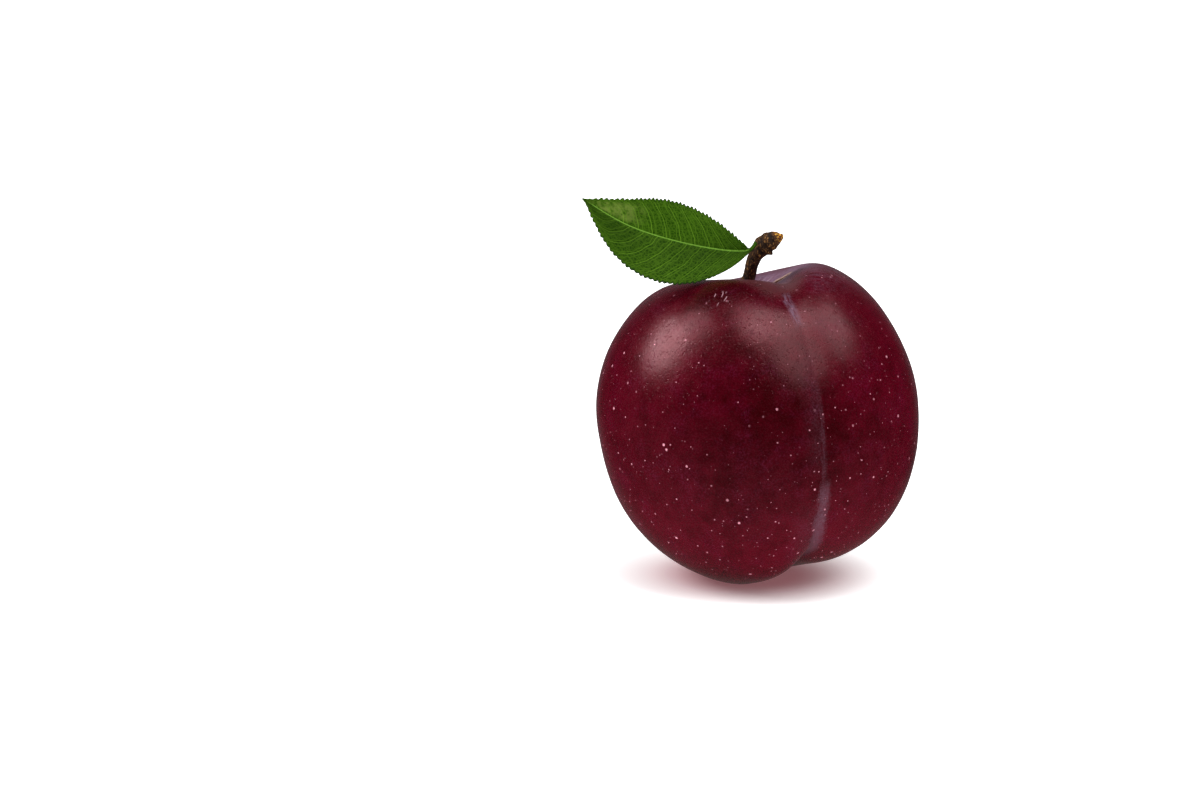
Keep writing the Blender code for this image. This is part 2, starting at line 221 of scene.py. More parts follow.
# Side veins of the upper and the lower half: slant and curve toward the tip, and where they start.
UPPER_VEINS = (0.06, 0.11, 0.25)
LOWER_VEINS = (0.11, 0.10, 0.70)
VEIN_WIDTH = 0.20 * MM
VEIN_DEPTH = 0.05 * MM
QUILT_HEIGHT = 0.07 * MM
MIDRIB_WIDTH = 0.42 * MM
MIDRIB_DEPTH = 0.16 * MM
MIDRIB_NARROWING = 0.6
MIDRIB_FLATTENING = 0.7
KEEL_HEIGHT = 0.40 * MM
KEEL_WIDTH = 0.5 * MM
KEEL_FLATTENING = 0.8
EDGE_THINNING = 6
BACK_RELIEF = 0.6


def ease(value, low, high):
    """A smooth step from 0 below low to 1 above high."""
    t = np.clip((np.asarray(value, float) - low) / (high - low), 0.0, 1.0)
    return t * t * (3.0 - 2.0 * t)


def hump(value, middle, reach):
    """A bell of height 1 around the middle."""
    return np.exp(-((value - middle) / reach) ** 2)


def fade(value, low, high):
    """A smooth step from 1 below low to 0 above high."""
    return 1.0 - ease(value, low, high)


def unit(vectors):
    """The same vectors, each of length 1."""
    return vectors / np.linalg.norm(vectors, axis=-1, keepdims=True)


def spherical(bearing, polar):
    """Unit directions at bearings from -Y toward +X and polar angles from +Z."""
    flat = np.sin(polar)
    return np.stack((flat * np.sin(bearing), -flat * np.cos(bearing), np.cos(polar)), axis=-1)


def uneven(points, wavelength, seed=0.0):
    """Smooth noise from -1 to 1 at each point."""
    drift = Vector((seed, -seed, 0.5 * seed))
    flat = np.asarray(points).reshape(-1, 3) / wavelength
    values = [noise.noise(Vector(point) + drift) for point in flat]
    return np.array(values).reshape(np.shape(points)[:-1])


def suture_bearing(polar):
    """The suture swings to the right as it climbs into the hollow, and a little at the blossom end."""
    at_rim = SUTURE_SWEEP_AT_RIM * ease(polar, *RIM_SWEEP_SPAN)
    return SUTURE_BEARING + at_rim + SUTURE_SWEEP_AT_BLOSSOM * ease(polar, *BLOSSOM_SWEEP_SPAN)


def body_distance(bearing, polar):
    """Distance from the middle to the skin, before the hollow and the suture."""
    upper = polar < math.pi / 2
    height = np.where(upper, TOP_HEIGHT, BOTTOM_HEIGHT)
    power = np.where(upper, TOP_ROUNDNESS, BOTTOM_ROUNDNESS)
    across = np.abs(np.sin(polar)) / BODY_RADIUS
    along = np.abs(np.cos(polar)) / height
    distance = (across ** power + along ** power) ** (-1.0 / power)
    direction = spherical(bearing, polar)
    for side, down, reach, swell in SWELLINGS:
        middle = spherical(math.radians(side), math.radians(down))
        apart = np.arccos(np.clip(direction @ middle, -1.0, 1.0))
        distance = distance + swell * hump(apart, 0.0, reach)
    return distance


def slit_distance(across, back):
    """Distance from the slit, seen along the axis."""
    run = SLIT_END - SLIT_START
    offset = np.stack((across, back), axis=-1) - SLIT_START
    share = np.clip(offset @ run / (run @ run), 0.0, 1.0)
    return np.linalg.norm(offset - share[..., None] * run, axis=-1)


def fruit_skin(bearing, polar):
    """Points of the skin around the upright axis, and each one's places for the paint, in mm."""
    distance = body_distance(bearing, polar)
    from_axis = distance * np.sin(polar)
    off_seam = from_axis * np.sin(bearing - suture_bearing(polar))
    toward_seam = from_axis * np.cos(bearing - suture_bearing(polar))
    at_rim = hump(polar, RIM_POLAR, RIM_REACH)
    at_blossom = hump(polar, BLOSSOM_POLAR, BLOSSOM_REACH)
    depth = SEAM_DEPTH_WAIST + (SEAM_DEPTH_RIM - SEAM_DEPTH_WAIST) * at_rim
    depth = depth + (SEAM_DEPTH_BLOSSOM - SEAM_DEPTH_WAIST) * at_blossom
    width = SEAM_WIDTH_WAIST + (SEAM_WIDTH_RIM - SEAM_WIDTH_WAIST) * at_rim
    width = width + (SEAM_WIDTH_BLOSSOM - SEAM_WIDTH_WAIST) * at_blossom
    width = width - SEAM_STEEPER_RIGHT * np.tanh(off_seam / SEAM_SOFTNESS_RIM) * at_rim
    softness = SEAM_SOFTNESS + (SEAM_SOFTNESS_RIM - SEAM_SOFTNESS) * at_rim
    off_floor = np.hypot(off_seam, softness) - softness
    front_only = ease(toward_seam, *SEAM_FADES_BEHIND_AXIS)
    distance = distance - depth * np.exp(-off_floor / width) * front_only
    distance = distance - CREASE_DEPTH * hump(off_seam, 0.0, CREASE_WIDTH) * front_only
    points = spherical(bearing, polar) * distance[..., None]
    upper = polar < math.pi / 2
    bottom_lift = CHEEK_LIFT_BOTTOM * ease(toward_seam, *CHEEK_FADES_BEHIND_AXIS)
    lift = np.where(upper, CHEEK_LIFT_TOP, bottom_lift)
    blend = np.where(upper, CHEEK_BLEND_TOP, CHEEK_BLEND_BOTTOM)
    points[..., 2] += lift * np.cos(polar) ** 2 * np.tanh(off_seam / blend)
    hollow = HOLLOW_DEPTH * np.exp(-(from_axis / HOLLOW_RADIUS) ** HOLLOW_STEEPNESS)
    scar = SCAR_DEPTH * hump(from_axis, 0.0, SCAR_RADIUS)
    points[..., 2] += np.where(upper, -hollow, scar)
    crowding = sum(push * np.sin(waves * bearing) for waves, push in PLEAT_CROWDING)
    pleats = np.sin(PLEATS * bearing + crowding)
    pleats = pleats * PLEAT_DEPTH * hump(from_axis, PLEAT_RADIUS, PLEAT_REACH)
    points[..., 2] += np.where(upper, pleats, 0.0)
    from_slit = slit_distance(from_axis * np.sin(bearing), -from_axis * np.cos(bearing))
    from_slit = np.where(upper, from_slit, BODY_RADIUS)
    points[..., 2] -= SLIT_DEPTH * hump(from_slit, 0.0, SLIT_WIDTH)
    crest = CREST_SPREAD * (np.clip(off_seam, CREST_FROM, CREST_TO) - CREST_FROM)
    crest = crest * ease(toward_seam, *CREST_FADES_BEHIND_AXIS)
    places = {
        "off_seam": np.where(toward_seam > 0.0, off_seam, BODY_RADIUS) / MM,
        "inside": np.where(upper, BLOOM_RADIUS + crest - from_axis, -BODY_RADIUS) / MM,
        "down": polar,
        "pleat": np.where(upper, pleats / PLEAT_DEPTH, 0.0),
        "from_slit": from_slit / MM,
    }
    return points, places


def settle(points):
    """Lean the upright fruit as it rests, and bring its flat spot to the origin."""
    left, back = LEAN_LEFT, LEAN_BACK
    x = points[..., 0] * math.cos(left) - points[..., 2] * math.sin(left)
    z = points[..., 0] * math.sin(left) + points[..., 2] * math.cos(left)
    y = points[..., 1] * math.cos(back) + z * math.sin(back)
    z = z * math.cos(back) - points[..., 1] * math.sin(back)
    return np.stack((x, y, z), axis=-1) - REST_SPOT_OFFSET + (0.0, 0.0, REST_PLANE_BELOW_MIDDLE)


def fit_to_frame():
    """The scale and shift that bring this script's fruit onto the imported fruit."""
    down = np.linspace(0.0, math.pi, FIT_ROWS)
    polar, bearing = np.meshgrid(down, np.linspace(0.0, math.tau, FIT_COLUMNS))
    points = settle(fruit_skin(bearing, polar)[0]).reshape(-1, 3)
    points[:, 2] = np.maximum(points[:, 2], 0.0)
    low, high = (np.array(corner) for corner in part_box("fruit"))
    scale = (high - low).max() / (points.max(0) - points.min(0)).max()
    return scale, (low + high) / 2.0 - scale * (points.max(0) + points.min(0)) / 2.0


SCALE, SHIFT = fit_to_frame()


def grid_faces(rows, columns):
    """Quads between rings of vertices that are numbered row by row."""
    row, column = np.meshgrid(np.arange(rows - 1), np.arange(columns), indexing="ij")
    after = (column + 1) % columns
    corners = (row * columns + column, (row + 1) * columns + column)
    corners += ((row + 1) * columns + after, row * columns + after)
    return np.stack(corners, axis=-1).reshape(-1, 4).tolist()


def end_faces(rows, columns):
    """The two faces that close a grid's first and last rings."""
    first = tuple(range(columns))
    last = tuple(range((rows - 1) * columns, rows * columns))
    return [first, last[::-1]]


def add_piece(name, points, faces, places, paint):
    """Make a smooth painted piece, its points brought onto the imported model."""
    mesh = bpy.data.meshes.new(name)
    mesh.from_pydata((SCALE * points + SHIFT).tolist(), [], faces)
    for place, values in places.items():
        attribute = mesh.attributes.new(place, "FLOAT", "POINT")
        attribute.data.foreach_set("value", np.asarray(values, np.float32).ravel())
    mesh.validate()
    mesh.shade_smooth()
    mesh.materials.append(paint.material)
    piece = bpy.data.objects.new(name, mesh)
    bpy.context.scene.collection.objects.link(piece)
    return piece


class Link:
    """A shader socket that takes part in arithmetic; each operation adds a Math node."""

    def __init__(self, paint, socket):
        self.paint = paint
        self.socket = socket

    def math(self, operation, *values):
        return self.paint.node("Math", {"operation": operation}, dict(enumerate(values)))

    def __add__(self, other):
        return self.math("ADD", self, other)

    __radd__ = __add__

    def __sub__(self, other):
        return self.math("SUBTRACT", self, other)

    def __rsub__(self, other):
        return self.math("SUBTRACT", other, self)

    def __mul__(self, other):
        return self.math("MULTIPLY", self, other)

    __rmul__ = __mul__

    def __truediv__(self, other):
        return self.math("DIVIDE", self, other)

    def __pow__(self, other):
        return self.math("POWER", self, other)

    def __abs__(self):
        return self.math("ABSOLUTE", self)

    def most(self, other):
        return self.math("MAXIMUM", self, other)

    def from_whole(self):
        """How far the value is from the nearest whole number."""
        return self.math("PINGPONG", self, 0.5)

    def rises(self, low, high):
        """0 below low, 1 above high, smooth between; low may be the larger."""
        settings = {"interpolation_type": "SMOOTHSTEP"}
        return self.paint.node("MapRange", settings, {"Value": self, "From Min": low, "From Max": high})

    def within(self, rising, falling):
        """1 between a rising and a falling edge, 0 outside; each edge is given from 0 to 1."""
        return self.rises(*rising) * self.rises(*falling)


class Nodes:
    """A node tree, and short ways to add the nodes that the paints and the room need."""

    MIX_A, MIX_B, MIX_RESULT = 6, 7, 2

    def __init__(self, tree):
        self.tree = tree

    def node(self, kind, settings=None, inputs=None, output=0):
        """Add a node, set it, feed its inputs, and return one of its outputs."""
        made = self.tree.nodes.new("ShaderNode" + kind)
        for key, value in (settings or {}).items():
            setattr(made, key, value)
        for key, value in (inputs or {}).items():
            self.feed(made.inputs[key], value)
        return Link(self, made.outputs[output])

    def feed(self, socket, value):
        """Link or set one input socket."""
        if isinstance(value, Link):
            self.tree.links.new(value.socket, socket)
        else:
            socket.default_value = value

    def place(self):
        """The piece's own coordinates in millimetres."""
        metres = self.node("TexCoord", output="Object")
        return self.stretch(metres, (1.0 / MM, 1.0 / MM, 1.0 / MM))

    def stretch(self, vector, factors):
        return self.node("VectorMath", {"operation": "MULTIPLY"}, {0: vector, 1: factors})

    def attribute(self, name):
        return self.node("Attribute", {"attribute_name": name}, output="Fac")

    def noise(self, vector, scale, detail=2.0, roughness=0.5):
        inputs = {"Vector": vector, "Scale": scale, "Detail": detail, "Roughness": roughness}
        return self.node("TexNoise", {"noise_dimensions": "3D"}, inputs)

    def cells(self, vector, scale, output="Distance", feature="F1"):
        settings = {"voronoi_dimensions": "3D", "feature": feature}
        return self.node("TexVoronoi", settings, {"Vector": vector, "Scale": scale}, output)

    def part(self, vector, index):
        """The X, Y or Z part of a vector, or the red, green or blue part of a colour."""
        return self.node("SeparateXYZ", inputs={"Vector": vector}, output=index)

    def mix(self, under, over, share):
        """One colour over another."""
        inputs = {"Factor": share, self.MIX_A: under, self.MIX_B: over}
        return self.node("Mix", {"data_type": "RGBA"}, inputs, self.MIX_RESULT)

    def bump(self, height, distance, strength=1.0):
        inputs = {"Height": height, "Distance": distance, "Strength": strength}
        return self.node("Bump", inputs=inputs)


class Paint(Nodes):
    """One material and the nodes that feed its Principled shader."""

    def __init__(self, name):
        self.material = bpy.data.materials.new(name)
        self.material.use_nodes = True
        super().__init__(self.material.node_tree)
        self.shader = self.tree.nodes["Principled BSDF"]

    def finish(self, **inputs):
        """Feed the Principled shader's sockets; an underscore stands for a space."""
        for key, value in inputs.items():
            self.feed(self.shader.inputs[key.replace("_", " ")], value)
        return self


# Crimson of the skin. Its darker parts, a patch across the front middle that is partly the skin's own
# tone and partly painted shade, and a painted shadow of the leaf on the upper left: bearing and polar
# angle in degrees, reach, and strength.
DARK_AND_SHADED_PATCHES = ((2, 88, 0.66, 1.0), (-16, 38, 0.26, 0.9))
DEEP_CRIMSON = (0.034, 0.0001, 0.0015, 1.0)
RIPE_CRIMSON = (0.104, 0.0004, 0.0085, 1.0)
MIST_MAUVE = (0.24, 0.015, 0.09, 1.0)
GLOSS_ROSE = (1.0, 0.42, 0.46, 1.0)

# Unevenness of the skin: patches in each millimetre, and their shares of the ripeness.
BROAD_PATCHES = 0.055
BROAD_SHARE = 0.35
MOTTLES = 0.35
MOTTLE_SHARE = 0.40
FINE_MOTTLES = 2.2
FINE_SHARE = 0.25
GRAINS = 3.1
MIST_PATCHES = 0.22
PITS = 1.5

# Each edge is a pair: where a paint has no strength, and where it has its full strength.
RIPENESS_EDGE = (0.30, 0.70)
RIPENESS_RANGE = (-0.6, 0.9)
DARK_AND_SHADED_STRENGTH = 0.8
GRAIN_EDGE = (0.42, 0.68)
PATCHY_LEAST = 0.40
MIST_EDGE = (0.46, 0.72)
MIST_SHARE = 0.17
PIT_EDGE = (0.42, 0.30)

# Specks: cells in each millimetre, and the largest radius of their specks in millimetres.
SPECK_PINK = (1.00, 0.42, 0.53, 1.0)
SPECK_SIZES = ((0.45, 0.36), (0.75, 0.21), (1.15, 0.12))
SMALLEST_SPECK = 0.40
SPECK_CORE = 0.5
SPECK_STRENGTH_EDGE = (0.30, 0.75)
SPECK_CROWDS = 0.085
SPECK_CROWD_EDGE = (0.40, 0.60)
SPECKS_BETWEEN_CROWDS = 0.55
SPECKS_LOST_IN_DARK_AND_SHADED = 0.45

# Bloom along the suture: edges down the fruit are in radians from the stem end, widths in millimetres.
BLOOM_GREY = (0.165, 0.085, 0.125, 1.0)
BRUSH_ACROSS = 2.2
BRUSH_DOWN = 11.0
BRUSH_FRAY = 1.8
FINE_FRAY = 0.8
LOWER_WIDTH = 1.2
LOWER_WIDTH_EDGE = (1.90, 2.02)
LOWER_FLARE = 0.5
LOWER_FLARE_EDGE = (2.05, 2.40)
LOWER_END_EDGE = (2.95, 2.75)
LOWER_START_EDGE = (1.92, 2.05)
LOWER_TO_RIGHT = 0.2
LOWER_SOFTNESS = 0.5
LOWER_CORE = 0.2
LOWER_SHARE = 0.75
BESIDE_ACROSS = ((-7.0, -1.0), (1.0, 0.0))
BESIDE_DOWN_EDGE = (2.0, 2.25)
BESIDE_SHARE = 0.8
UPPER_TO_LEFT = 0.35
UPPER_WIDTH_EDGE = (1.25, 0.2)
UPPER_DOWN = ((0.66, 0.76), (1.04, 0.92))
UPPER_BRUSH_EDGE = (0.36, 0.58)
UPPER_SHARE = 0.62
LINE_WIDTH_EDGE = (0.7, 0.1)
LINE_DOWN = ((1.35, 1.60), (2.05, 1.90))
LINE_SHARE = 0.30
HAZE_ACROSS = ((-4.5, -0.3), (0.9, 0.0))
HAZE_DOWN = ((1.12, 1.35), (2.0, 1.75))
HAZE_BRUSH_EDGE = (0.35, 0.60)
HAZE_LEAST = 0.4
HAZE_SHARE = 0.18

# Bloom in the hollow, paler on its right wall where the paler colour is partly painted light, and a
# painted brownish-grey sheen on the front rim: edges are in millimetres inside its border, or to the
# right of the suture.
BLOOM_LILAC = (0.235, 0.165, 0.245, 1.0)
PALE_BLOOM_AND_PAINTED_LIGHT = (0.29, 0.195, 0.29, 1.0)
# Colour of the painted sheen on the front rim.
PAINTED_RIM_SHEEN = (0.165, 0.100, 0.100, 1.0)
PLEAT_ROSE = (0.52, 0.36, 0.44, 1.0)
BLOOM_FRAY = 3.0
BLOOM_EDGE = (-0.8, 1.6)
BLOOM_THIN = 0.30
BLOOM_THICKENS = 0.50
BLOOM_THICK_EDGE = (1.5, 5.5)
RIM_EDGE = (-4.5, -1.0)
RIM_WIDER_LEFT = 4.5
RIM_WIDER_EDGE = (-10.0, -3.0)
RIM_ACROSS = ((-15.0, -8.0), (5.0, 0.5))
RIM_SHEEN_SHARE = 0.36
# Wiped strokes in each millimetre along X, Y and Z.
WIPED_SIZES = (0.40, 1.5, 2.2)
WIPED_EDGE = (0.38, 0.60)
WIPED_LEAST = 0.60
STRAY_INSIDE_EDGE = (-7.0, 0.0)
STRAY_ACROSS = ((1.5, 4.5), (19.0, 13.0))
STRAY_SHARE = 0.22
GRAINY_LEAST = 0.55
SHOULDER_ACROSS = ((1.0, 3.5), (10.0, 7.0))
SHOULDER_INSIDE_EDGE = (0.3, 2.0)
STREAK_EDGE = (0.15, 0.80)
STREAK_MOTTLE_EDGE = (0.35, 0.60)
STREAK_SHARE = 0.6

# A patch of short scratches: its middle and its reach are in millimetres.
SCUFF_PALE = (0.60, 0.34, 0.40, 1.0)
SCUFF_MIDDLE = (-5.8, -13.4, 54.2)
SCUFF_REACH = (2.3, 1.4)
SCUFF_STROKES = 2.6
SCUFF_SLANT = 1.6
SCUFF_LENGTHS = 0.55
SCUFF_EDGE = (0.60, 0.67)
SCUFF_SHARE = 0.8

# The slit, by distance in millimetres.
SLIT_TAN = (0.50, 0.33, 0.25, 1.0)
SLIT_BROWN = (0.050, 0.018, 0.010, 1.0)
SLIT_TAN_EDGE = (1.3, 0.6)
SLIT_TAN_MOTTLE_EDGE = (0.30, 0.50)
SLIT_TAN_SHARE = 0.9
SLIT_BROWN_EDGE = (0.55, 0.30)

# Sheen of the skin: what adds to its roughness, and what lifts or dents it.
SKIN_ROUGHNESS = 0.19
MOTTLE_ROUGHNESS = 0.08
GRAIN_ROUGHNESS = 0.12
BLOOM_ROUGHNESS = 0.25
RIM_DULLNESS = 0.5
SKIN_RELIEF = 0.021 * MM
SPECK_RELIEF = 1.2
PIT_RELIEF = 0.9
SKIN_SPECULAR = 0.42


def skin_specks(paint, place):
    """Round pale specks of three sizes, in loose crowds."""
    specks = 0.0
    for scale, size in SPECK_SIZES:
        distance = paint.cells(place, scale)
        chance = paint.cells(place, scale, "Color")
        radius = size * (SMALLEST_SPECK + (1.0 - SMALLEST_SPECK) * paint.part(chance, 0))
        speck = (distance / scale).rises(radius, radius * SPECK_CORE)
        specks = (speck * paint.part(chance, 1).rises(*SPECK_STRENGTH_EDGE)).most(specks)
    crowded = paint.noise(place, SPECK_CROWDS, 1.0).rises(*SPECK_CROWD_EDGE)
    return specks * (SPECKS_BETWEEN_CROWDS + (1.0 - SPECKS_BETWEEN_CROWDS) * crowded)


def seam_bloom(paint, off_seam, down, fine):
    """Grey bloom along the suture, strongest in a lower patch, and the lilac streak above it."""
    strokes = paint.node("CombineXYZ", inputs={"X": off_seam * BRUSH_ACROSS, "Y": down * BRUSH_DOWN})
    brushed = paint.noise(strokes, 1.0, 4.0, 0.65)
    frayed = off_seam + BRUSH_FRAY * (brushed - 0.5) + FINE_FRAY * (fine - 0.5)
    half = LOWER_WIDTH * down.rises(*LOWER_WIDTH_EDGE) + LOWER_FLARE * down.rises(*LOWER_FLARE_EDGE)
    half = half * down.rises(*LOWER_END_EDGE)
    lower = abs(frayed - LOWER_TO_RIGHT).rises(half + LOWER_SOFTNESS, half * LOWER_CORE)
    lower = lower * down.rises(*LOWER_START_EDGE)
    beside = off_seam.within(*BESIDE_ACROSS) * down.rises(*BESIDE_DOWN_EDGE)
    line = abs(frayed).rises(*LINE_WIDTH_EDGE) * down.within(*LINE_DOWN)
    haze = off_seam.within(*HAZE_ACROSS) * down.within(*HAZE_DOWN)
    haze = haze * (HAZE_LEAST + (1.0 - HAZE_LEAST) * brushed.rises(*HAZE_BRUSH_EDGE))
    haze = haze.most(beside * BESIDE_SHARE)
    grey = (lower * LOWER_SHARE).most(line * LINE_SHARE).most(haze * HAZE_SHARE)
    upper = abs(frayed + UPPER_TO_LEFT).rises(*UPPER_WIDTH_EDGE) * down.within(*UPPER_DOWN)
    return grey, upper * brushed.rises(*UPPER_BRUSH_EDGE) * UPPER_SHARE


def skin_scuffs(paint, place):
    """A small patch of short slanting scratches on the left shoulder."""
    ends = {0: place, 1: SCUFF_MIDDLE}
    from_middle = paint.node("VectorMath", {"operation": "DISTANCE"}, ends, "Value")
    right, back, rise = (paint.part(place, index) for index in range(3))
    across = right * SCUFF_STROKES - rise * SCUFF_SLANT
    strokes = paint.node("CombineXYZ", inputs={"X": across, "Y": back * SCUFF_LENGTHS})
    return paint.noise(strokes, 1.0, 1.0).rises(*SCUFF_EDGE) * from_middle.rises(*SCUFF_REACH)


def plum_skin():
    """Dark crimson skin with pale specks, a lilac bloom in the hollow and along the suture, a painted
    sheen on the front rim, a paler bloom on the hollow's right wall that is partly painted light, and
    darker patches that are partly painted shade.
    """
    paint = Paint("plum_skin")
    place = paint.place()
    off_seam = paint.attribute("off_seam")
    inside = paint.attribute("inside")
    dark_and_shaded = paint.attribute("dark_and_shaded")
    broad = paint.noise(place, BROAD_PATCHES, 2.0)
    mottled = paint.noise(place, MOTTLES, 4.0, 0.6)
    fine = paint.noise(place, FINE_MOTTLES, 3.0, 0.6)
    ripeness = (broad * BROAD_SHARE + mottled * MOTTLE_SHARE + fine * FINE_SHARE).rises(*RIPENESS_EDGE)
    # The front middle patch (partly painted shade) and the painted leaf shadow pull the skin toward the
    # dark crimson.
    ripeness = (ripeness - dark_and_shaded * DARK_AND_SHADED_STRENGTH).rises(*RIPENESS_RANGE)
    colour = paint.mix(DEEP_CRIMSON, RIPE_CRIMSON, ripeness)
    grain = paint.noise(place, GRAINS, 2.0, 0.7).rises(*GRAIN_EDGE)
    mist = paint.noise(place, MIST_PATCHES, 3.0, 0.6).rises(*MIST_EDGE) * grain
    colour = paint.mix(colour, MIST_MAUVE, mist * MIST_SHARE)

    bloomed = (inside + BLOOM_FRAY * (mottled - 0.5)).rises(*BLOOM_EDGE)
    specks = skin_specks(paint, place) * (1.0 - bloomed) * (1.0 - SPECKS_LOST_IN_DARK_AND_SHADED * dark_and_shaded)
    patchy = PATCHY_LEAST + (1.0 - PATCHY_LEAST) * grain
    grey, upper = seam_bloom(paint, off_seam, paint.attribute("down"), fine)
    grey = grey * patchy
    colour = paint.mix(colour, BLOOM_GREY, grey)
    # Painted sheen: a brownish-grey veil along the front rim that stands in for its grazing reflection.
    rim_sheen = (inside + RIM_WIDER_LEFT * off_seam.rises(*RIM_WIDER_EDGE)).rises(*RIM_EDGE)
    rim_sheen = rim_sheen * off_seam.within(*RIM_ACROSS) * patchy
    colour = paint.mix(colour, PAINTED_RIM_SHEEN, rim_sheen * RIM_SHEEN_SHARE)

    wiped = paint.noise(paint.stretch(place, WIPED_SIZES), 1.0, 4.0, 0.65).rises(*WIPED_EDGE)
    stray = inside.rises(*STRAY_INSIDE_EDGE) * off_seam.within(*STRAY_ACROSS) * wiped
    lilac = bloomed * (BLOOM_THIN + BLOOM_THICKENS * inside.rises(*BLOOM_THICK_EDGE))
    lilac = lilac * (WIPED_LEAST + (1.0 - WIPED_LEAST) * wiped)
    lilac = lilac.most(upper).most(stray * STRAY_SHARE)
    lilac = lilac * (GRAINY_LEAST + (1.0 - GRAINY_LEAST) * patchy)
    # The hollow's right wall gets a paler bloom, partly real bloom and partly painted light where the
    # wall lies in shade.
    lit_right_wall = off_seam.within(*SHOULDER_ACROSS) * inside.rises(*SHOULDER_INSIDE_EDGE)
    colour = paint.mix(colour, paint.mix(BLOOM_LILAC, PALE_BLOOM_AND_PAINTED_LIGHT, lit_right_wall), lilac)
    streaks = paint.attribute("pleat").rises(*STREAK_EDGE) * mottled.rises(*STREAK_MOTTLE_EDGE)
    colour = paint.mix(colour, PLEAT_ROSE, streaks * bloomed * STREAK_SHARE)
    from_slit = paint.attribute("from_slit")
    tan = from_slit.rises(*SLIT_TAN_EDGE) * fine.rises(*SLIT_TAN_MOTTLE_EDGE)
    colour = paint.mix(colour, SLIT_TAN, tan * SLIT_TAN_SHARE)
    colour = paint.mix(colour, SLIT_BROWN, from_slit.rises(*SLIT_BROWN_EDGE))
    colour = paint.mix(colour, SPECK_PINK, specks)
    colour = paint.mix(colour, SCUFF_PALE, skin_scuffs(paint, place) * SCUFF_SHARE)

    dull = grey.most(lilac).most(rim_sheen * RIM_DULLNESS)
    roughness = SKIN_ROUGHNESS + MOTTLE_ROUGHNESS * mottled + GRAIN_ROUGHNESS * grain
    pits = paint.noise(place, PITS, 2.0, 0.6).rises(*PIT_EDGE)
    normal = paint.bump(fine + specks * SPECK_RELIEF - pits * PIT_RELIEF, SKIN_RELIEF)
    paint.finish(Base_Color=colour, Roughness=roughness + BLOOM_ROUGHNESS * dull, Normal=normal)
    return paint.finish(Specular_IOR_Level=SKIN_SPECULAR, Specular_Tint=GLOSS_ROSE)


def make_fruit():
    """The skin as a fine grid whose columns crowd toward the suture."""
    polar = np.linspace(0.0, math.pi, FRUIT_ROWS + 1)[1:-1]
    turn = np.arange(FRUIT_COLUMNS) * math.tau / FRUIT_COLUMNS
    polar, turn = np.meshgrid(polar, turn, indexing="ij")
    bearing = suture_bearing(polar) + turn - COLUMN_CROWDING * np.sin(turn)
    rings, places = fruit_skin(bearing, polar)
    ends, end_places = fruit_skin(np.zeros(2), np.array((0.0, math.pi)))
    points = np.concatenate((rings.reshape(-1, 3), ends))
    places = {name: np.append(values.ravel(), end_places[name]) for name, values in places.items()}
    outward = unit(points)
    # Darker patches for the paint: one on the front middle, partly painted shade, and a painted shadow
    # of the leaf.
    places["dark_and_shaded"] = np.zeros(len(points))
    for side, polar_degrees, reach, strength in DARK_AND_SHADED_PATCHES:
        middle = spherical(math.radians(side), math.radians(polar_degrees))
        apart = np.arccos(np.clip(outward @ middle, -1.0, 1.0))
        places["dark_and_shaded"] = np.maximum(places["dark_and_shaded"], strength * hump(apart, 0.0, reach))
    for wavelength, height in SKIN_WAVES:
        points = points + outward * (height * uneven(points, wavelength, wavelength / MM))[:, None]
    points = settle(points)
    points[:, 2] = np.maximum(points[:, 2], 0.0)
    rows = FRUIT_ROWS - 1
    faces = grid_faces(rows, FRUIT_COLUMNS)
    top, bottom = rows * FRUIT_COLUMNS, rows * FRUIT_COLUMNS + 1
    last = (rows - 1) * FRUIT_COLUMNS
    for column in range(FRUIT_COLUMNS):
        after = (column + 1) % FRUIT_COLUMNS
        faces.append((column, after, top))
        faces.append((last + after, last + column, bottom))
    piece = add_piece("fruit_skin", points, faces, places, plum_skin())
    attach(piece, BODY)
    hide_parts("fruit")


def smooth_line(place):
    """Points and radii on the smooth curve through the stem's line."""
    line = np.array([(*point, radius) for point, radius in STEM_LINE]) * MM
    spans = len(line) - 1
    span = np.minimum((place * spans).astype(int), spans - 1)
    t = (place * spans - span)[:, None]
    before, first, second, after = (line[np.clip(span + step, 0, spans)] for step in (-1, 0, 1, 2))
    curve = (-0.5 * t + t ** 2 - 0.5 * t ** 3) * before + (1.0 - 2.5 * t ** 2 + 1.5 * t ** 3) * first
    curve += (0.5 * t + 2.0 * t ** 2 - 1.5 * t ** 3) * second + (-0.5 * t ** 2 + 0.5 * t ** 3) * after
    return curve[:, :3], curve[:, 3]


BARK_BROWN = (0.018, 0.007, 0.003, 1.0)
BARK_RUST = (0.085, 0.032, 0.010, 1.0)
BARK_TAN = (0.55, 0.27, 0.070, 1.0)
BROKEN_WOOD = (0.95, 0.47, 0.055, 1.0)
BROKEN_CRACK = (0.12, 0.025, 0.004, 1.0)
# Grains, fibres and cracks in each millimetre; the last two along X, Y and Z.
BARK_GRAINS = 1.6
FIBRES = (4.2, 4.2, 1.6)
CRACKS = (1.3, 1.3, 2.34)
RUST_FROM_GRAIN = 0.6
RUST_EDGE = (0.40, 0.66)
FLECK_EDGE = (0.53, 0.63)
FLECK_HEIGHT_EDGE = (0.50, 0.95)
FLECK_SHARE = 0.85
CRACK_EDGE = (0.20, 0.06)
DARK_WOOD_EDGE = (0.56, 0.44)
# Where along the stem the bark gives way to broken wood, and how ragged that border is.
BREAK_EDGE = (0.875, 0.915)
BREAK_FRAY = 0.22
BREAK_RELIEF = 0.14
BARK_ROUGHNESS = 0.62
BARK_GRAIN_ROUGHNESS = 0.25
BARK_BUMP = 0.12 * MM
BARK_BUMP_STRENGTH = 0.8
BARK_SPECULAR = 0.25


